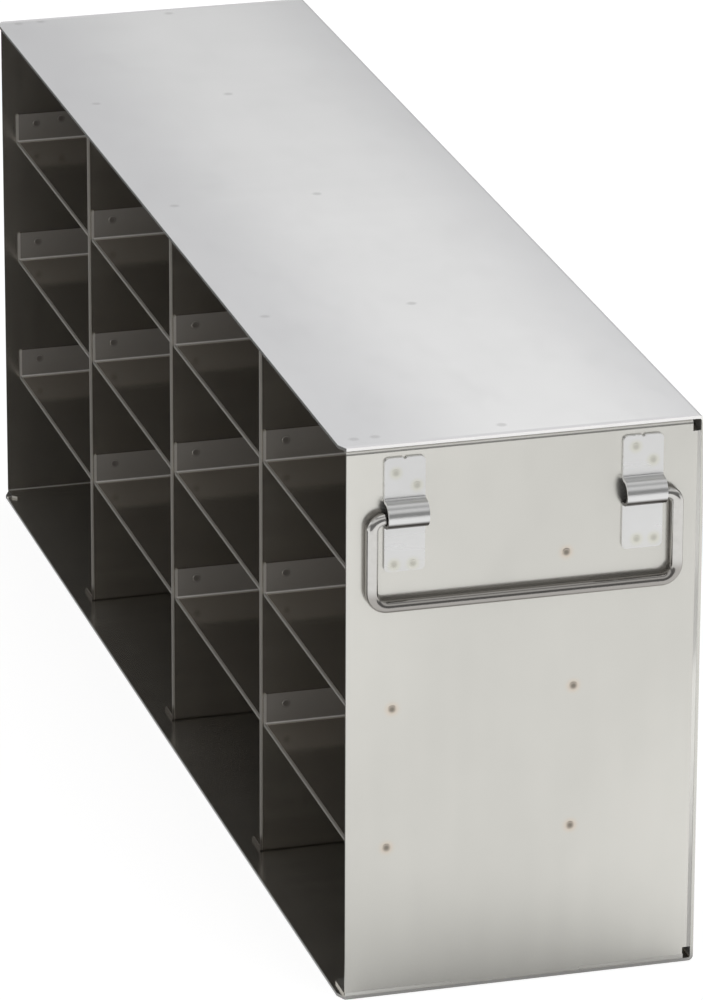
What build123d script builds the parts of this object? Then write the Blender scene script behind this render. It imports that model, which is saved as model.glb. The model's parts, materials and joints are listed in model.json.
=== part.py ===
from build123d import *
import os

# Freezer storage rack for cryogenic boxes: sheet-metal shelving, open along its left side.
# X runs across the rack (open side at -X), Y along its depth (handle end at -Y), Z up.
# The origin is the centre of the footprint, on the underside.

# ---------------------------------------------------------------- overall sizes
rack_width = 139.5
rack_depth = 560.0
rack_height = 220.5
column_count = 4
level_count = 4

# ---------------------------------------------------------------- sheet metal
wrap_sheet = 1.2
end_sheet = 1.0
divider_sheet = 1.0
shelf_sheet = 1.0
bend_inner_radius = 0.8

front_flange = 15.0
rear_flange = 10.0
divider_flange = 15.0
shelf_flange = 13.5

# how far each piece stands back from the wrap's two free edges on the open side
end_setback = 2.0
divider_setback = 6.6
shelf_setback = 7.9
# air between a shelf or divider and the closed side, past the bends there
side_gap = 0.3

wrap_clip_width = 2.0
wrap_clip_depth = 4.5
flange_clip = 2.0
tray_corner_radius = 1.2
notch_width = 3.2
notch_height = 4.6

# ---------------------------------------------------------------- handle
bail_wire = 4.8
bail_span = 117.6
bail_drop = 34.5
bail_top_bend = 4.6
bail_bottom_bend = 6.0
bail_grip = 10.0
bail_clearance = 0.3
bail_tip_chamfer = 0.5

bracket_width = 15.6
bend_to_bracket = 0.6
bracket_sheet = 1.2
bracket_corner = 2.0
bracket_upper_foot = 21.5
bracket_lower_foot = 23.0
nick_radius = 0.7
hump_below_top = 26.5
hump_inner_radius = 4.0
hump_depth = 6.5

# ---------------------------------------------------------------- derived places
open_edge = -rack_width / 2
front_face = -rack_depth / 2
rear_face = rack_depth / 2
floor_top = wrap_sheet
ceiling = rack_height - wrap_sheet
wall_inside = rack_width / 2 - wrap_sheet

divider_right = wall_inside - bend_inner_radius - side_gap
shelf_right = wall_inside - end_sheet - bend_inner_radius - side_gap

bay_length = (rack_depth - 2 * end_sheet - (column_count - 1) * divider_sheet) / column_count
column_pitch = bay_length + divider_sheet
bay_height = (ceiling - floor_top - (level_count - 1) * shelf_sheet) / level_count
level_pitch = bay_height + shelf_sheet

hump_height = rack_height - hump_below_top
bracket_pitch = bail_span - 2 * (bail_top_bend + bend_to_bracket) - bracket_width


def bay_front(column):
    """Y where a column's free length starts; column 1 is next to the handle."""
    return front_face + end_sheet + (column - 1) * column_pitch


def shelf_underside(level):
    """Z under the shelf that carries a level; level 1 rests on the wrap's bottom sheet."""
    return floor_top + (level - 1) * level_pitch - shelf_sheet


def sheet_profile(plane, sheet, *outer_points):
    """Section of a bent sheet: outer_points run along its outer face, metal on their left."""
    with BuildSketch(plane) as profile:
        with BuildLine():
            FilletPolyline(*outer_points, radius=bend_inner_radius + sheet)
            offset(amount=sheet, side=Side.LEFT)
        make_face()
    return profile.sketch


def end_pan(web, tip):
    """Shallow end pan inside the wrap: web is its outer Y, tip the free Y of its three flanges."""
    left = open_edge + end_setback
    upright = [(tip, ceiling), (web, ceiling), (web, floor_top), (tip, floor_top)]
    flat = [(left, web), (wall_inside, web), (wall_inside, tip)]
    if tip < web:
        upright.reverse()
        flat.reverse()
    with BuildPart() as pan:
        # plate with its top and bottom flanges, up to the corner notches
        channel = sheet_profile(Plane.YZ.offset(left), end_sheet, *upright)
        extrude(channel, amount=wall_inside - notch_width - left)
        # plate with its flange along the closed side, between the corner notches
        angle = sheet_profile(Plane.XY.offset(floor_top + notch_height), end_sheet, *flat)
        extrude(angle, amount=ceiling - floor_top - 2 * notch_height)
        free_corners = pan.edges().filter_by(Axis.Z).filter_by(
            lambda edge: edge.length < 1.01 * end_sheet and abs(edge.center().Y - tip) < end_sheet / 2
        )
        chamfer(free_corners, length=flange_clip)
    return pan.part


# ---------------------------------------------------------------- wrap
# One sheet bent twice: top, closed right side and bottom. The left side stays open.
with BuildPart() as wrap:
    wrap_section = sheet_profile(
        Plane.XZ.offset(-front_face),
        wrap_sheet,
        (open_edge, 0),
        (-open_edge, 0),
        (-open_edge, rack_height),
        (open_edge, rack_height),
    )
    extrude(wrap_section, amount=-rack_depth)
    # the four free corners are clipped
    with BuildSketch():
        with BuildLine():
            Polyline(
                (open_edge, front_face),
                (open_edge + wrap_clip_width, front_face),
                (open_edge, front_face + wrap_clip_depth),
                close=True,
            )
        make_face()
        mirror(about=Plane.XZ)
    extrude(amount=rack_height, mode=Mode.SUBTRACT)
wrap.part.label = "wrap"

# ---------------------------------------------------------------- end panels
with BuildPart() as front_panel:
    add(end_pan(front_face, front_face + front_flange))
front_panel.part.label = "front_panel"

with BuildPart() as rear_panel:
    add(end_pan(rear_face, rear_face - rear_flange))
rear_panel.part.label = "rear_panel"


# ---------------------------------------------------------------- dividers
def build_divider(column):
    """Full-height divider behind a column, its top and bottom flanges turned to the rear."""
    left = open_edge + divider_setback
    web = bay_front(column) + bay_length
    tip = web + divider_flange
    with BuildPart() as divider:
        section = sheet_profile(
            Plane.YZ.offset(left),
            divider_sheet,
            (tip, ceiling),
            (web, ceiling),
            (web, floor_top),
            (tip, floor_top),
        )
        extrude(section, amount=divider_right - left)
        tip_corners = divider.edges().filter_by(Axis.Z).group_by(Axis.Y)[-1]
        chamfer(tip_corners, length=flange_clip)
    divider.part.label = f"divider_{column}"
    return divider.part


# ---------------------------------------------------------------- shelves
def build_shelf(column, level):
    """Shelf tray of one compartment, its front and rear flanges turned up."""
    left = open_edge + shelf_setback
    front = bay_front(column)
    rear = front + bay_length
    underside = shelf_underside(level)
    flange_top = underside + shelf_flange
    with BuildPart() as shelf:
        section = sheet_profile(
            Plane.YZ.offset(left),
            shelf_sheet,
            (front, flange_top),
            (front, underside),
            (rear, underside),
            (rear, flange_top),
        )
        extrude(section, amount=shelf_right - left)
        upper_corners = shelf.edges().filter_by(Axis.Y).group_by(Axis.Z)[-1]
        fillet(upper_corners, radius=tray_corner_radius)
    shelf.part.label = f"shelf_{column}_{level}"
    return shelf.part


dividers = [build_divider(column) for column in range(1, column_count)]
shelves = [
    build_shelf(column, level)
    for column in range(1, column_count + 1)
    for level in range(2, level_count + 1)
]

# ---------------------------------------------------------------- handle
bail_axis_y = front_face - bail_wire / 2 - bail_clearance
bail_axis_z = hump_height - hump_inner_radius + bail_wire / 2 + bail_clearance
bail_bar_z = bail_axis_z - bail_drop


def build_bracket(name, centre):
    """Strap with two flat feet on the front panel and a round hump that holds the bail's end."""
    hump_top = hump_height + hump_inner_radius
    hump_bottom = hump_height - hump_inner_radius
    hump_centre_y = front_face - hump_depth + hump_inner_radius
    strap_top = hump_height + bracket_upper_foot
    strap_bottom = hump_height - bracket_lower_foot
    with BuildPart() as bracket:
        with BuildSketch(Plane.YZ.offset(centre - bracket_width / 2)):
            with BuildLine() as strap:
                Line((front_face, strap_bottom), (front_face, hump_bottom))
                Line((front_face, hump_bottom), (hump_centre_y, hump_bottom))
                RadiusArc((hump_centre_y, hump_bottom), (hump_centre_y, hump_top), hump_inner_radius)
                Line((hump_centre_y, hump_top), (front_face, hump_top))
                Line((front_face, hump_top), (front_face, strap_top))
                roots = strap.vertices().filter_by(
                    lambda point: point.Y in (hump_bottom, hump_top) and point.X == front_face
                )
                fillet(roots, radius=bend_inner_radius + bracket_sheet)
                offset(amount=bracket_sheet, side=Side.LEFT)
            make_face()
        extrude(amount=bracket_width)
        foot_corners = bracket.edges().filter_by(Axis.Y).group_by(Axis.Z)
        fillet(foot_corners[0] + foot_corners[-1], radius=bracket_corner)
        # small locating nick in the middle of the upper edge
        with BuildSketch(Plane.XZ.offset(-front_face)):
            with Locations((centre, strap_top)):
                Circle(nick_radius)
        extrude(amount=bracket_sheet, mode=Mode.SUBTRACT)
    bracket.part.label = name
    return bracket.part


brackets = [
    build_bracket("handle_bracket_left", -bracket_pitch / 2),
    build_bracket("handle_bracket_right", bracket_pitch / 2),
]

# One round wire, hanging against the panel; its two ends turn inward through the humps.
with BuildPart() as handle_bail:
    half_span = bail_span / 2
    tip_x = bracket_pitch / 2 + bracket_width / 2 - bail_grip
    with BuildLine(Plane.XZ.offset(-bail_axis_y)) as centreline:
        FilletPolyline(
            (-tip_x, bail_axis_z),
            (-half_span, bail_axis_z),
            (-half_span, bail_bar_z),
            (half_span, bail_bar_z),
            (half_span, bail_axis_z),
            (tip_x, bail_axis_z),
            radius=[bail_top_bend, bail_bottom_bend, bail_bottom_bend, bail_top_bend],
        )
    with BuildSketch(centreline.line ^ 0):
        Circle(bail_wire / 2)
    sweep()
    tip_faces = handle_bail.faces().filter_by(GeomType.PLANE)
    chamfer(tip_faces.edges(), length=bail_tip_chamfer)
handle_bail.part.label = "handle_bail"

# ---------------------------------------------------------------- files
os.makedirs("parts", exist_ok=True)
pieces = [wrap.part, front_panel.part, rear_panel.part, *dividers, *shelves, *brackets, handle_bail.part]
for piece in pieces:
    export_step(piece, f"parts/{piece.label}.step")
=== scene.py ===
import bpy
import bmesh
import json
import math
from mathutils import Matrix, Vector


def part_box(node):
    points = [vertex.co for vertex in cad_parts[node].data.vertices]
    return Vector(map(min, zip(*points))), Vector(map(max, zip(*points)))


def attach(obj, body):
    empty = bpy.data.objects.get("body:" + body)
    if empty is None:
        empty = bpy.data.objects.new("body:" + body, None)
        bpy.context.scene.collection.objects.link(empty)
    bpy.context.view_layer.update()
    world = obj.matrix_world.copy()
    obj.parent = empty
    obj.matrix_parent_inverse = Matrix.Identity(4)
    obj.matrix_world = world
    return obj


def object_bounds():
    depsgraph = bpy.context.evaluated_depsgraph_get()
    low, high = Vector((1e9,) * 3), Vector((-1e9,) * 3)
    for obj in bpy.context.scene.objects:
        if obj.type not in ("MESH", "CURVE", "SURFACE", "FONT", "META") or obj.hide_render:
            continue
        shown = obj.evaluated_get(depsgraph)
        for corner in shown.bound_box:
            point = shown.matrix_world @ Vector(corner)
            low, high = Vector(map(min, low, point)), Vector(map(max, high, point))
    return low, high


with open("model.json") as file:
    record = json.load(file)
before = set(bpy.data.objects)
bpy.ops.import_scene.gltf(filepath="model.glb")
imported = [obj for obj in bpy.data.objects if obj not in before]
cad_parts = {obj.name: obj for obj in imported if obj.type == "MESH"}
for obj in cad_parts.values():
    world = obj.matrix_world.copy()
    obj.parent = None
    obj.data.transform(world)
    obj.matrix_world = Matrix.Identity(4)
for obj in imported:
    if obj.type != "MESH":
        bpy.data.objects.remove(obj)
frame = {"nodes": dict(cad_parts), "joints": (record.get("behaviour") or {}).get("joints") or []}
cad_low, cad_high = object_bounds()
nodes = frame["nodes"]
hinge = Vector(frame["joints"][0]["pos_m"])
MM = 0.001
SHELF_SHEET = 1.0 * MM
BRACKET_SHEET = 1.2 * MM

wrap_low, wrap_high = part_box("wrap")
panel_low, panel_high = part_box("front_panel")
bracket_names = ("handle_bracket_left", "handle_bracket_right")
shelf_names = sorted(name for name in nodes if name.startswith("shelf"))
divider_names = sorted(name for name in nodes if name.startswith("divider"))
rack_width = wrap_high.x - wrap_low.x


# ---------------------------------------------------------------- spot welds
def on_front(x, z, y):
    """A weld on a face that looks forward, in millimetres from the rack's left edge and foot."""
    return (wrap_low.x + x * MM, y, wrap_low.z + z * MM)


def on_top(x, y):
    """A weld on the top sheet, in millimetres from the rack's left edge and its front."""
    return (wrap_low.x + x * MM, wrap_low.y + y * MM, wrap_high.z)


def shelf_weld(name):
    """The weld that holds a shelf's rear flange to the divider or the rear pan behind it."""
    inset = 8.9 * MM
    low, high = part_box(name)
    return (low.x + inset, high.y - SHELF_SHEET, low.z + inset)


panel_face = panel_low.y
bracket_face = panel_face - BRACKET_SHEET
PANEL_WELDS = [
    on_front(x, z, panel_face)
    for x, z in ((86.6, 171.7), (90.1, 118.0), (89.6, 61.5), (19.8, 116.0), (17.9, 60.4))
]
BRACKET_WELDS = [
    on_front(x, z, bracket_face)
    for x, z in (
        (20.5, 209.6), (28.6, 204.2), (19.9, 173.8), (27.1, 173.7),
        (112.6, 211.1), (119.4, 205.4), (113.4, 174.6), (120.1, 174.5),
    )
]
TOP_WELDS = [
    on_top(x, y)
    for x, y in (
        (13.8, 432.6), (71.0, 431.5), (11.6, 290.8), (71.1, 290.9), (11.5, 150.1), (70.2, 150.1),
        (7.3, 9.1), (15.5, 9.6), (64.0, 9.8), (8.7, 555.0), (18.9, 555.4), (76.0, 553.2),
    )
]
# The topmost rear shelf has a second weld on its flange.
rear_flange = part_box("shelf_4_4")[1].y - SHELF_SHEET
SHELF_WELDS = [shelf_weld(name) for name in shelf_names] + [on_front(28.1, 174.7, rear_flange)]
WELD_RADIUS = 1.6 * MM
# Where the wrap's lower edge meets the rear pan: a dark, dull patch of painted shade.
REAR_CORNER = (wrap_low.x + 1.0 * MM, wrap_high.y - 2.0 * MM, wrap_low.z + 0.8 * MM)


# ---------------------------------------------------------------- pieces
def add_object(name, data):
    """A new object in the scene, from a mesh, a lamp or a camera."""
    made = bpy.data.objects.new(name, data)
    bpy.context.scene.collection.objects.link(made)
    return made


def quad(name, corners):
    """A mesh of one four-sided face."""
    mesh = bpy.data.meshes.new(name)
    mesh.from_pydata(corners, [], [(0, 1, 2, 3)])
    return mesh


def add_to_rack(name, mesh, material):
    """A new piece of the rack's own body, with its finish."""
    mesh.materials.append(material)
    piece = add_object(name, mesh)
    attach(piece, "rack")


def weld_dimples(name, centres, material, rise=1.0):
    """Shallow round dimples with a raised lip, as an electrode leaves them on a forward face."""
    segments = 24
    middle_height = 0.01
    # Each ring's share of the weld's radius, and its height off the sheet in millimetres.
    rings = ((0.35, 0.012), (0.62, 0.045), (0.80, 0.065), (0.92, 0.04), (1.0, -0.01))
    shape = bmesh.new()
    for centre in centres:
        middle = shape.verts.new(Vector(centre) + Vector((0, -middle_height * MM, 0)))
        inner = None
        for share, height in rings:
            ring = []
            for step in range(segments):
                turn = math.tau * step / segments
                reach = WELD_RADIUS * share
                offset = (math.cos(turn) * reach, -height * rise * MM, math.sin(turn) * reach)
                ring.append(shape.verts.new(Vector(centre) + Vector(offset)))
            for step in range(segments):
                following = (step + 1) % segments
                outward = (ring[step], ring[following])
                if inner is None:
                    shape.faces.new((middle, *outward))
                else:
                    shape.faces.new((inner[step], *outward, inner[following]))
            inner = ring
    for face in shape.faces:
        face.smooth = True
    mesh = bpy.data.meshes.new(name)
    shape.to_mesh(mesh)
    shape.free()
    add_to_rack(name, mesh, material)


def seam_bead(name, start, end, inward, width, material):
    """A weld ground flush, along the groove between the front pan's bend and the wrap."""
    depths = (0.05, 0.03, 0.03, 0.03, 0.05)  # its face behind the panel's, in millimetres
    back = Vector((0, 0.9 * MM, 0))
    across = Vector(inward)
    rows = []
    for end_point in (start, end):
        base = Vector(end_point)
        row = []
        for step, depth in enumerate(depths):
            share = 1 - step / (len(depths) - 1)
            row.append(base + across * (width * share) + Vector((0, depth * MM, 0)))
        row += [base + back, base + across * (width * 0.5) + back]
        rows.append(row)
    count = len(rows[0])
    faces = [(i, (i + 1) % count, count + (i + 1) % count, count + i) for i in range(count)]
    faces += [tuple(range(count - 1, -1, -1)), tuple(range(count, 2 * count))]
    mesh = bpy.data.meshes.new(name)
    mesh.from_pydata(rows[0] + rows[1], [], faces)
    shape = bmesh.new()
    shape.from_mesh(mesh)
    bmesh.ops.recalc_face_normals(shape, faces=shape.faces)
    shape.to_mesh(mesh)
    shape.free()
    for face in mesh.polygons:
        face.use_smooth = len(face.vertices) == 4 and face.normal.y < -0.5
    add_to_rack(name, mesh, material)


# ---------------------------------------------------------------- camera
def make_camera():
    """The photograph's view: from the front left, above the rack, with a long lens."""
    azimuth = math.radians(15.758)
    elevation = math.radians(20.625)
    roll = math.radians(0.192)
    aim = Vector((-0.06581, -0.28, 0.20039))
    distance = 2.54029
    sensor_height = 24.0
    focal_in_frame_heights = 6.9507
    data = bpy.data.cameras.new("camera")
    data.sensor_fit = "VERTICAL"
    data.sensor_height = sensor_height
    data.lens = sensor_height * focal_in_frame_heights
    data.clip_end = 100.0
    camera = add_object("camera", data)
    turn = (
        Matrix.Rotation(-azimuth, 4, "Z")
        @ Matrix.Rotation(math.pi / 2 - elevation, 4, "X")
        @ Matrix.Rotation(roll, 4, "Z")
    )
    place = aim + turn.to_3x3() @ Vector((0, 0, distance))
    camera.matrix_world = Matrix.Translation(place) @ turn
    bpy.context.scene.camera = camera


# ---------------------------------------------------------------- node trees
MIX_FIRST, MIX_SECOND, MIX_RESULT = 6, 7, 2  # the colour sockets of a Mix node


class Nodes:
    """Shorthand for building a node tree."""

    def __init__(self, tree):
        self.tree = tree

    def node(self, kind, **settings):
        made = self.tree.nodes.new(kind)
        for key, value in settings.items():
            setattr(made, key, value)
        return made

    def plug(self, socket, value):
        """Links a socket to an output, or sets its value."""
        if isinstance(value, bpy.types.NodeSocket):
            self.tree.links.new(value, socket)
        elif isinstance(value, tuple) and len(socket.default_value) == 4:
            socket.default_value = (*value, 1)
        else:
            socket.default_value = value

    def coordinate(self, kind):
        return self.node("ShaderNodeTexCoord").outputs[kind]

    def axes(self, vector):
        """The X, Y and Z of a vector."""
        made = self.node("ShaderNodeSeparateXYZ")
        self.plug(made.inputs[0], vector)
        return made.outputs

    def noise(self, scale, detail=3.0, roughness=0.5):
        """Noise in the object's own space; scale is cycles per metre along X, Y and Z."""
        stretch = self.node("ShaderNodeMapping")
        stretch.inputs["Scale"].default_value = scale
        made = self.node("ShaderNodeTexNoise")
        made.inputs["Scale"].default_value = 1.0
        made.inputs["Detail"].default_value = detail
        made.inputs["Roughness"].default_value = roughness
        self.plug(stretch.inputs["Vector"], self.coordinate("Object"))
        self.plug(made.inputs["Vector"], stretch.outputs["Vector"])
        return made.outputs["Fac"]

    def span(self, value, low, high, new_low=0.0, new_high=1.0, smooth=False):
        """Maps a value from one range to another, held at the ends."""
        made = self.node("ShaderNodeMapRange")
        made.interpolation_type = "SMOOTHSTEP" if smooth else "LINEAR"
        made.inputs["From Min"].default_value = low
        made.inputs["From Max"].default_value = high
        made.inputs["To Min"].default_value = new_low
        made.inputs["To Max"].default_value = new_high
        self.plug(made.inputs["Value"], value)
        return made.outputs["Result"]

    def maths(self, operation, first, second=0.0):
        made = self.node("ShaderNodeMath", operation=operation)
        self.plug(made.inputs[0], first)
        self.plug(made.inputs[1], second)
        return made.outputs[0]

    def mix(self, factor, first, second):
        """A colour between two, first at 0 and second at 1."""
        made = self.node("ShaderNodeMix", data_type="RGBA")
        self.plug(made.inputs["Factor"], factor)
        self.plug(made.inputs[MIX_FIRST], first)
        self.plug(made.inputs[MIX_SECOND], second)
        return made.outputs[MIX_RESULT]

    def brighten(self, colour, factor):
        """A colour times a factor; either may be a socket."""
        made = self.node("ShaderNodeVectorMath", operation="SCALE")
        self.plug(made.inputs[0], colour)
        self.plug(made.inputs["Scale"], factor)
        return made.outputs[0]

    def near(self, centres, inner, outer):
        """1 within inner of any centre, falling to 0 at outer."""
        place = self.coordinate("Object")
        nearest = None
        for centre in centres:
            apart = self.node("ShaderNodeVectorMath", operation="DISTANCE")
            self.plug(apart.inputs[0], place)
            apart.inputs[1].default_value = centre
            distance = apart.outputs["Value"]
            nearest = distance if nearest is None else self.maths("MINIMUM", nearest, distance)
        return self.span(nearest, inner, outer, 1.0, 0.0, smooth=True)

    def faces_along(self, component):
        """1 where the surface looks along an axis, either way; takes that part of its normal."""
        return self.span(self.maths("ABSOLUTE", component), 0.8, 0.95)

    def crevice(self, reach):
        """1 in a corner or a seam, 0 on an open face, from ambient occlusion: a mask for painted
        shade.
        """
        made = self.node("ShaderNodeAmbientOcclusion", samples=8)
        made.inputs["Distance"].default_value = reach
        return self.span(made.outputs["AO"], 0.75, 0.2, smooth=True)


# ---------------------------------------------------------------- stage and light
def bare_material(mesh):
    """A material for a stage piece, named after it, and the helper of its empty node tree."""
    material = bpy.data.materials.new(mesh.name)
    material.use_nodes = True
    mesh.materials.append(material)
    n = Nodes(material.node_tree)
    n.tree.nodes.clear()
    return n


def make_floor():
    """A wide white floor just under the rack, darker in the rack's own shadow."""
    half = 30.0
    drop = -0.2 * MM
    shadow_reach = 110 * MM
    lit = 0.80  # the floor's own glow, in the open
    mirrored_foot = 0.14  # what is left of it under the rack, as the metal mirrors it
    corners = [(-half, -half, drop), (half, -half, drop), (half, half, drop), (-half, half, drop)]
    mesh = quad("floor", corners)
    floor = add_object("floor", mesh)
    n = bare_material(mesh)
    plain = n.node("ShaderNodeBsdfDiffuse")
    plain.inputs["Color"].default_value = (0.8, 0.8, 0.8, 1)
    shadowed = n.node("ShaderNodeBsdfDiffuse")
    shadowed.inputs["Color"].default_value = (0.4, 0.4, 0.4, 1)
    glow = n.node("ShaderNodeEmission")
    # For rays the metal mirrors, ambient occlusion dims the glow near the rack: a painted shadow.
    # The camera sees the glow undimmed.
    openness = n.node("ShaderNodeAmbientOcclusion", samples=8)
    openness.inputs["Distance"].default_value = shadow_reach
    paths = n.node("ShaderNodeLightPath").outputs
    foot = n.span(paths["Is Camera Ray"], 0.0, 1.0, mirrored_foot, lit)
    under = n.span(openness.outputs["AO"], 1.0, 0.45)
    lost = n.maths("MULTIPLY", under, n.maths("SUBTRACT", lit, foot))
    n.plug(glow.inputs["Strength"], n.maths("SUBTRACT", lit, lost))
    white = n.node("ShaderNodeAddShader")
    n.plug(white.inputs[0], shadowed.outputs[0])
    n.plug(white.inputs[1], glow.outputs[0])
    seen = n.maths("ADD", paths["Is Camera Ray"], paths["Is Glossy Ray"])
    seen = n.maths("ADD", seen, paths["Is Transmission Ray"])
    both = n.node("ShaderNodeMixShader")
    n.plug(both.inputs[0], seen)
    n.plug(both.inputs[1], plain.outputs[0])
    n.plug(both.inputs[2], white.outputs[0])
    n.plug(n.node("ShaderNodeOutputMaterial").inputs["Surface"], both.outputs[0])


def make_world():
    """A bright backdrop all round the horizon under a dim ceiling, lower in front than behind."""
    world = bpy.data.worlds.new("studio")
    bpy.context.scene.world = world
    world.use_nodes = True
    n = Nodes(world.node_tree)
    n.tree.nodes.clear()
    toward = n.axes(n.coordinate("Generated"))
    # Stops from the horizon, 0, to straight up, 1, and the brightness at each.
    in_front = [
        (0.0, 1.0), (0.10, 1.0), (0.20, 0.26), (0.40, 0.26), (0.46, 0.80),
        (0.80, 0.80), (0.86, 0.10), (1.0, 0.20),
    ]
    behind = [(0.0, 0.60), (0.18, 0.60), (0.42, 1.35), (0.52, 1.10), (0.65, 0.22), (1.0, 0.22)]
    levels = []
    for stops in (in_front, behind):
        ramp = n.node("ShaderNodeValToRGB")
        elements = ramp.color_ramp.elements
        for position, level in stops:
            elements.new(position).color = (level, level, level, 1)
        elements.remove(elements[0])
        elements.remove(elements[-1])
        n.plug(ramp.inputs[0], toward["Z"])
        levels.append(ramp.outputs[0])
    side = n.span(toward["Y"], -0.35, 0.35, smooth=True)
    light = n.node("ShaderNodeBackground")
    n.plug(light.inputs["Color"], n.mix(side, *levels))
    n.plug(n.node("ShaderNodeOutputWorld").inputs[0], light.outputs[0])


def area_lamp(name, place, aim, width, height, radiance, mirrored=True):
    """A soft box; radiance 1 shows as white in a mirror."""
    data = bpy.data.lights.new(name, "AREA")
    data.shape = "RECTANGLE"
    data.size = width
    data.size_y = height
    data.energy = radiance * math.pi * width * height
    lamp = add_object(name, data)
    lamp.location = place
    lamp.rotation_euler = (Vector(aim) - Vector(place)).to_track_quat("-Z", "Y").to_euler()
    lamp.visible_glossy = mirrored


def make_lamps():
    """Two soft boxes, in front and on the left, which the metal doesn't mirror."""
    centre = (0, 0, 0.1)
    area_lamp("key", (0.60, -1.95, 1.50), centre, 1.9, 0.5, 1.2, mirrored=False)
    area_lamp("side", (-2.6, -1.2, 1.5), centre, 1.2, 1.0, 1.8, mirrored=False)


def dark_card(name, level, corners):
    """A dark card, unseen by the camera, there only for the metal to mirror."""
    mesh = quad(name, corners)
    card = add_object(name, mesh)
    n = bare_material(mesh)
    dim = n.node("ShaderNodeEmission")
    dim.inputs["Strength"].default_value = level
    n.plug(n.node("ShaderNodeOutputMaterial").inputs["Surface"], dim.outputs[0])
    card.visible_camera = False
    card.visible_diffuse = False
    card.visible_shadow = False


def make_cards():
    """One card stands in front of the rack, the other lies on the floor at its open side."""
    left, right, top = -1.6, 2.0, 0.62
    front = cad_low.y - 0.90
    standing = [(left, front, 0), (right, front, 0), (right, front, top), (left, front, top)]
    dark_card("front_card", 0.20, standing)
    near, far = cad_low.x - 0.004, cad_low.x - 1.3
    start, end, lift = -0.27, 1.3, 0.5 * MM
    lying = [(near, start, lift), (near, end, lift), (far, end, lift), (far, start, lift)]
    dark_card("left_card", 0.10, lying)


# ---------------------------------------------------------------- materials
ACROSS = (14, 160, 160)  # grain along X, in cycles per metre
UPRIGHT = (160, 160, 14)  # grain along Z
INNER_METAL = 0.93  # the share that mirrors; the rest scatters the little light that gets in
SHEET_ROUGHNESS = 0.22
# The colour of painted shade on dark, dull patches.
PAINTED_SHADE = (0.07, 0.065, 0.06)
WELD_CORE = (0.12, 0.105, 0.085)


def new_steel(name):
    """A metal material, and its node tree's helper and shader."""
    material = bpy.data.materials.new(name)
    material.use_nodes = True
    shader = material.node_tree.nodes["Principled BSDF"]
    shader.inputs["Metallic"].default_value = 1.0
    return material, Nodes(material.node_tree), shader


def finish_steel(n, shader, colour, roughness, grain, wave_height, grain_height=0.003 * MM):
    """Mill finish: grain one way, cloudy patches, smears, and sheet that isn't quite flat."""
    fine = n.noise(grain, detail=2.0)
    clouds = n.noise((13, 9, 11), detail=4.0, roughness=0.6)
    smears = n.noise((70, 28, 36), detail=3.0)
    patches = n.span(clouds, 0.3, 0.7, 0.965, 1.02)
    streaks = n.span(fine, 0.3, 0.7, 0.985, 1.012)
    tone = n.maths("MULTIPLY", patches, streaks)
    n.plug(shader.inputs["Base Color"], n.brighten(colour, tone))
    rough = n.maths("ADD", roughness, n.span(fine, 0.3, 0.7, -0.015, 0.015))
    rough = n.maths("ADD", rough, n.span(smears, 0.5, 0.75, 0.0, 0.035))
    n.plug(shader.inputs["Roughness"], rough)
    waves = n.node("ShaderNodeBump")
    waves.inputs["Distance"].default_value = wave_height
    n.plug(waves.inputs["Height"], n.noise((9, 7, 9), detail=1.0))
    scratches = n.node("ShaderNodeBump")
    scratches.inputs["Distance"].default_value = grain_height
    n.plug(scratches.inputs["Height"], fine)
    n.plug(scratches.inputs["Normal"], waves.outputs["Normal"])
    n.plug(shader.inputs["Normal"], scratches.outputs["Normal"])


def heat_tint(n, colour, centres, radius, tint, strength):
    """A spot weld's faint halo of heat colour round its dark core."""
    halo = n.near(centres, radius * 0.7, radius * 2.1)
    core = n.near(centres, radius * 0.2, radius * 1.1)
    colour = n.mix(n.maths("MULTIPLY", halo, 0.5), colour, tint)
    return n.mix(n.maths("MULTIPLY", core, strength), colour, WELD_CORE)


def add_painted_shade(n, colour, where):
    """Painted shade, dark and dull, where the mask is 1: its colour and its roughness."""
    colour = n.mix(n.maths("MULTIPLY", where, 0.88), colour, PAINTED_SHADE)
    return colour, n.span(where, 0.0, 1.0, SHEET_ROUGHNESS, SHEET_ROUGHNESS + 0.45)


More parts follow.
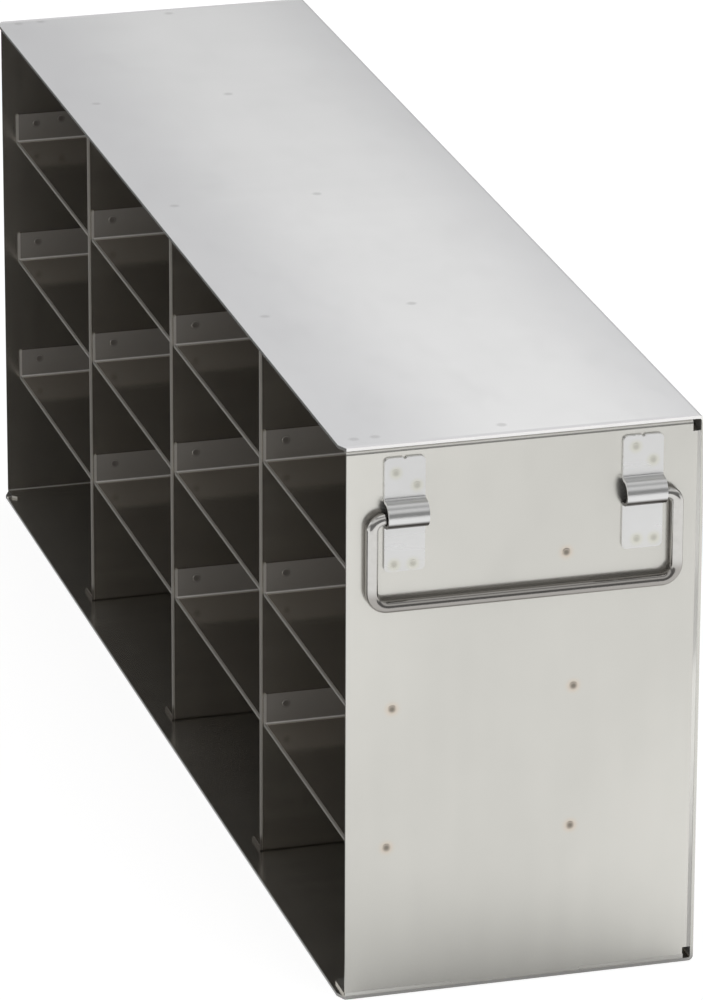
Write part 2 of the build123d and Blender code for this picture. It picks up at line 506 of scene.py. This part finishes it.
def wrap_steel():
    """The folded outer sheet: bright outside with a painted highlight, a darker and warmer inside
    as painted shade, and sheared edges.
    """
    material, n, shader = new_steel("wrap_steel")
    outside = (0.705, 0.705, 0.705)
    shaded = (0.545, 0.545, 0.555)
    # inside: painted shade, a darker and warmer copy of the outside's colour for the inner faces.
    inside = (0.56, 0.535, 0.49)
    weld = (0.26, 0.255, 0.25)
    rim_shade = (0.585, 0.58, 0.59)
    # The wrap's ends: painted shade low down, plain above, and a painted highlight along the top.
    low_edge, high_edge = (0.46, 0.455, 0.44), (0.68, 0.67, 0.63)
    top_edge, open_edge = (0.97, 0.96, 0.95), (0.40, 0.40, 0.39)
    place = n.axes(n.coordinate("Object"))
    facing = n.axes(n.coordinate("Normal"))

    # Painted highlight: the outside is brightest along a band a little right of the middle.
    # Painted shade dims it to the rear.
    middle = wrap_low.x + rack_width * 0.58
    off_middle = n.maths("ABSOLUTE", n.maths("SUBTRACT", place["X"], middle))
    glow = n.span(off_middle, rack_width * 0.08, rack_width * 0.55, 1.0, 0.0, smooth=True)
    back = n.span(place["Y"], wrap_low.y, wrap_high.y, 1.0, 0.86)
    colour = n.brighten(n.mix(glow, shaded, outside), back)
    # Painted shade on the inner faces: only the outer faces keep the outside's colour.
    upper = n.span(place["Z"], wrap_high.z - 0.5 * MM, wrap_high.z - 0.3 * MM)
    right = n.span(place["X"], wrap_high.x - 0.5 * MM, wrap_high.x - 0.3 * MM)
    outer = n.maths("MAXIMUM", upper, right)
    colour = n.mix(outer, inside, colour)

    # Weld marks on the top sheet, and painted shade: a darker rim along its front and rear ends.
    dot = n.near(TOP_WELDS, WELD_RADIUS * 0.5, WELD_RADIUS * 1.7)
    colour = n.mix(n.maths("MULTIPLY", dot, 0.34), colour, weld)
    rim_start, rim_full = wrap_high.y - 3.2 * MM, wrap_high.y - 1.6 * MM
    rim = n.span(n.maths("ABSOLUTE", place["Y"]), rim_start, rim_full, smooth=True)
    colour = n.mix(n.maths("MULTIPLY", rim, upper), colour, rim_shade)

    # Sheared edges: the two ends of the wrap, with painted shade at the foot and a painted
    # highlight along the top, then the long edges of its open side.
    edge = n.faces_along(facing["Y"])
    height = n.span(place["Z"], wrap_low.z + 1.3 * MM, wrap_high.z - 1.3 * MM)
    painted_edge_light = n.mix(n.span(height, 0.0, 0.02), low_edge, high_edge)
    colour = n.mix(edge, colour, n.mix(n.span(height, 0.99, 1.0), painted_edge_light, top_edge))
    side_edge = n.span(facing["X"], -0.8, -0.95)
    colour = n.mix(side_edge, colour, open_edge)
    colour, rough = add_painted_shade(n, colour, n.near([REAR_CORNER], 3.5 * MM, 5.5 * MM))
    metal = n.span(outer, 0.0, 1.0, INNER_METAL, 1.0)
    cut = n.span(n.maths("MAXIMUM", edge, side_edge), 0.0, 1.0, 1.0, 0.65)
    n.plug(shader.inputs["Metallic"], n.maths("MULTIPLY", metal, cut))
    finish_steel(n, shader, colour, rough, ACROSS, wave_height=0.10 * MM)
    return material


def panel_steel(name, colour, metal, welds, wear=1.0):
    """An end pan: warm grey, with a painted highlight on its bends, painted shade in its seams
    and its welds' heat marks.
    """
    material, n, shader = new_steel(name)
    seam = (0.12, 0.11, 0.095)
    painted_bend_highlight = (0.80, 0.79, 0.75)
    weld_halo = (0.66, 0.54, 0.42)
    facing = n.axes(n.coordinate("Normal"))
    level = n.maths("ABSOLUTE", facing["Y"])
    place = n.axes(n.coordinate("Object"))
    across = n.span(place["X"], panel_low.x, panel_high.x)
    up = n.span(place["Z"], panel_low.z, panel_high.z)
    # Brighter towards the upper left and lower right corners.
    corners = n.maths("ABSOLUTE", n.maths("SUBTRACT", across, up))
    colour = n.brighten(colour, n.span(corners, 0.3, 1.0, 0.94, 1.07))
    # Painted highlight on the bends, which are also made less metallic.
    painted_edge_light = n.maths("MULTIPLY", n.span(level, 0.97, 0.75), n.span(level, 0.02, 0.3, 0.0, wear))
    colour = n.mix(painted_edge_light, colour, painted_bend_highlight)
    # Painted shade in the seams, from ambient occlusion.
    painted_seam_shade = n.crevice(1.0 * MM)
    colour = n.mix(n.maths("MULTIPLY", painted_seam_shade, 0.22), colour, seam)
    n.plug(shader.inputs["Metallic"], n.span(painted_edge_light, 0.0, 1.0, metal, 0.15))
    if welds:
        colour = heat_tint(n, colour, welds, WELD_RADIUS * 1.15, weld_halo, 0.8)
    # Painted shade, dark and dull, on the ends of the rear pan's flanges; the front pan's get
    # none.
    ends = n.span(n.maths("ABSOLUTE", facing["X"]), 0.8, 0.95, 0.0, 0.0 if welds else 1.0)
    colour, rough = add_painted_shade(n, colour, ends)
    finish_steel(n, shader, colour, rough, UPRIGHT, wave_height=0.08 * MM)
    return material


def inner_steel(name, colour, flange, edge, left, roughness, welds):
    """Dividers and shelves: flanges that face the handle, a painted highlight on the bends and
    dull sheared edges.
    """
    material, n, shader = new_steel(name)
    shader.inputs["Specular IOR Level"].default_value = 0.15
    painted_bend_highlight = (0.95, 0.93, 0.90)
    flange_edge = (0.48, 0.46, 0.425)
    dark_edge_foot = (0.07, 0.06, 0.05)
    place = n.axes(n.coordinate("Object"))
    facing = n.axes(n.coordinate("Normal"))
    upright = n.span(facing["Y"], -0.5, -0.9)
    colour = n.mix(upright, colour, flange)
    # Only the shelves, which have the welds, get a painted highlight along the bend under the
    # flange, made less metallic too.
    rounded = n.maths("MULTIPLY", facing["Y"], facing["Z"])
    bend = n.span(rounded, -0.12, -0.42, 0.0, 1.0 if welds else 0.0)
    colour = n.mix(bend, colour, painted_bend_highlight)

    # The open side's sheared edge and the burr behind it, darker at the foot of a divider.
    side = n.faces_along(facing["X"])
    burr = n.span(place["X"], left + 1.1 * MM, left + 0.6 * MM, 0.0, 0.85)
    side = n.maths("MAXIMUM", side, burr)
    edge = n.mix(upright, edge, flange_edge)
    foot = n.span(place["Z"], wrap_low.z + 9 * MM, wrap_low.z + 6 * MM)
    colour = n.mix(side, colour, n.mix(foot, edge, dark_edge_foot))
    metal = INNER_METAL
    if welds:
        colour = heat_tint(n, colour, welds, WELD_RADIUS * 1.4, flange, 0.55)
        metal = n.span(upright, 0.0, 1.0, INNER_METAL, 0.68)
        metal = n.maths("SUBTRACT", metal, n.maths("MULTIPLY", bend, 0.5))
    cut = n.span(side, 0.0, 1.0, 1.0, 0.2)
    n.plug(shader.inputs["Metallic"], n.maths("MULTIPLY", metal, cut))
    rough = n.maths("ADD", n.maths("MULTIPLY", side, 0.45), roughness)
    finish_steel(n, shader, colour, rough, ACROSS, wave_height=0.05 * MM)
    return material


def bracket_steel():
    """The handle's brackets: cooler and brighter than the pan, with a painted shadow inside the
    hump and painted shade where the hump's top meets the foot.
    """
    material, n, shader = new_steel("bracket_steel")
    hump_inner = 4.5 * MM
    upper_foot, lower_foot = (0.715, 0.715, 0.71), (0.675, 0.67, 0.645)
    painted_hump_shadow = (0.10, 0.09, 0.08)
    weld_halo = (0.66, 0.65, 0.52)
    hump_root_shade = (0.30, 0.30, 0.32)
    sheared = (0.88, 0.88, 0.86)
    place = n.axes(n.coordinate("Object"))
    facing = n.axes(n.coordinate("Normal"))

    # The hump's inside is what lies near the hinge's axis, and it gets a painted shadow.
    across = n.maths("SUBTRACT", place["Y"], hinge.y)
    up = n.maths("SUBTRACT", place["Z"], hinge.z)
    squares = n.maths("ADD", n.maths("MULTIPLY", across, across), n.maths("MULTIPLY", up, up))
    radius = n.maths("SQRT", squares)
    within = n.span(radius, hump_inner + 0.2 * MM, hump_inner - 0.1 * MM)
    low = n.span(place["Z"], hinge.z - 12 * MM, hinge.z - 30 * MM, smooth=True)
    colour = n.mix(within, n.mix(low, upper_foot, lower_foot), painted_hump_shadow)
    colour = heat_tint(n, colour, BRACKET_WELDS, WELD_RADIUS * 1.05, weld_halo, 0.30)
    # Painted shade from ambient occlusion, just above the hinge where the hump's top meets the
    # foot.
    above = n.span(place["Z"], hinge.z, hinge.z + 2 * MM)
    root = n.maths("MULTIPLY", n.crevice(4 * MM), above)
    colour = n.mix(n.maths("MULTIPLY", root, 0.45), colour, hump_root_shade)

    # Sheared edges: both sides of the strap, and the two ends far from the hinge.
    sides = n.span(n.maths("ABSOLUTE", facing["X"]), 0.7, 0.9)
    ends = n.span(n.maths("MULTIPLY", facing["Z"], n.maths("ABSOLUTE", up)), 15 * MM, 19 * MM)
    cut = n.maths("MAXIMUM", sides, ends)
    colour = n.mix(cut, colour, n.mix(within, sheared, painted_hump_shadow))
    n.plug(shader.inputs["Metallic"], n.span(cut, 0.0, 1.0, 0.88, 0.2))
    flat, fine_grain = 0.01 * MM, 0.0002 * MM
    finish_steel(n, shader, colour, 0.28, ACROSS, wave_height=flat, grain_height=fine_grain)
    return material


def wire_steel():
    """The bail: bright drawn wire, with painted shade on every side but the front, and along the
    grip.
    """
    material, n, shader = new_steel("wire_steel")
    dull, bright = (0.55, 0.54, 0.52), (0.60, 0.59, 0.57)
    grip_shade = (0.36, 0.345, 0.325)
    shadowed = (0.25, 0.235, 0.22)
    facing = n.axes(n.coordinate("Normal"))
    fine = n.noise((400, 400, 400), detail=3.0)
    colour = n.mix(n.span(fine, 0.3, 0.7), dull, bright)
    # Painted shade on every side of the wire but the one facing forward.
    back = n.span(facing["Y"], -0.45, -0.05)
    place = n.axes(n.coordinate("Object"))
    # Painted shade along the grip, low on the bail.
    grip = n.span(place["Z"], hinge.z - 26 * MM, hinge.z - 31 * MM, smooth=True)
    colour = n.mix(grip, colour, grip_shade)
    n.plug(shader.inputs["Base Color"], n.mix(back, colour, shadowed))
    n.plug(shader.inputs["Roughness"], n.span(fine, 0.3, 0.7, 0.14, 0.19))
    return material


def give(material, *names):
    """Puts a material on CAD nodes, in place of their plain ones."""
    for name in names:
        for slot in nodes[name].material_slots:
            slot.material = material


def dress():
    """Gives every CAD node its finish, and lays the weld marks and seams on them."""
    front_warm, rear_warm = (0.655, 0.645, 0.605), (0.60, 0.57, 0.52)
    inner, flange = (0.585, 0.545, 0.485), (0.67, 0.635, 0.59)
    edge = (0.295, 0.282, 0.260)
    pale_weld = (0.93, 0.92, 0.87)
    shelf_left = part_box(shelf_names[0])[0].x
    divider_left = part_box(divider_names[0])[0].x
    front = panel_steel("front_steel", front_warm, 0.84, PANEL_WELDS)
    rear = panel_steel("rear_steel", rear_warm, INNER_METAL, [], wear=0.5)
    ground = panel_steel("ground_weld", pale_weld, 0.3, [])
    shelf = inner_steel("shelf_steel", inner, flange, edge, shelf_left, 0.14, SHELF_WELDS)
    divider = inner_steel("divider_steel", inner, inner, edge, divider_left, 0.2, [])
    bracket = bracket_steel()
    give(wrap_steel(), "wrap")
    give(front, "front_panel")
    give(rear, "rear_panel")
    give(divider, *divider_names)
    give(shelf, *shelf_names)
    give(bracket, *bracket_names)
    give(wire_steel(), "handle_bail")

    # The seams stop at the pan's corner notches.
    notch_width, notch_height = 3.2 * MM, 4.6 * MM
    right, low, high = panel_high.x + 0.28 * MM, panel_low.z, panel_high.z
    seam_foot = (right, panel_face, low + notch_height)
    seam_top = (right, panel_face, high - notch_height)
    seam_bead("right_seam", seam_foot, seam_top, (-1, 0, 0), 2.18 * MM, ground)
    seam_left = (panel_low.x, panel_face, low)
    seam_right = (right - notch_width, panel_face, low)
    seam_bead("bottom_seam", seam_left, seam_right, (0, 0, 1), 1.9 * MM, front)
    weld_dimples("panel_welds", PANEL_WELDS, front)
    weld_dimples("bracket_welds", BRACKET_WELDS, bracket, rise=0.35)
    weld_dimples("shelf_welds", SHELF_WELDS, shelf)


bpy.context.scene.view_settings.view_transform = "Standard"
make_camera()
make_floor()
make_world()
make_lamps()
make_cards()
dress()
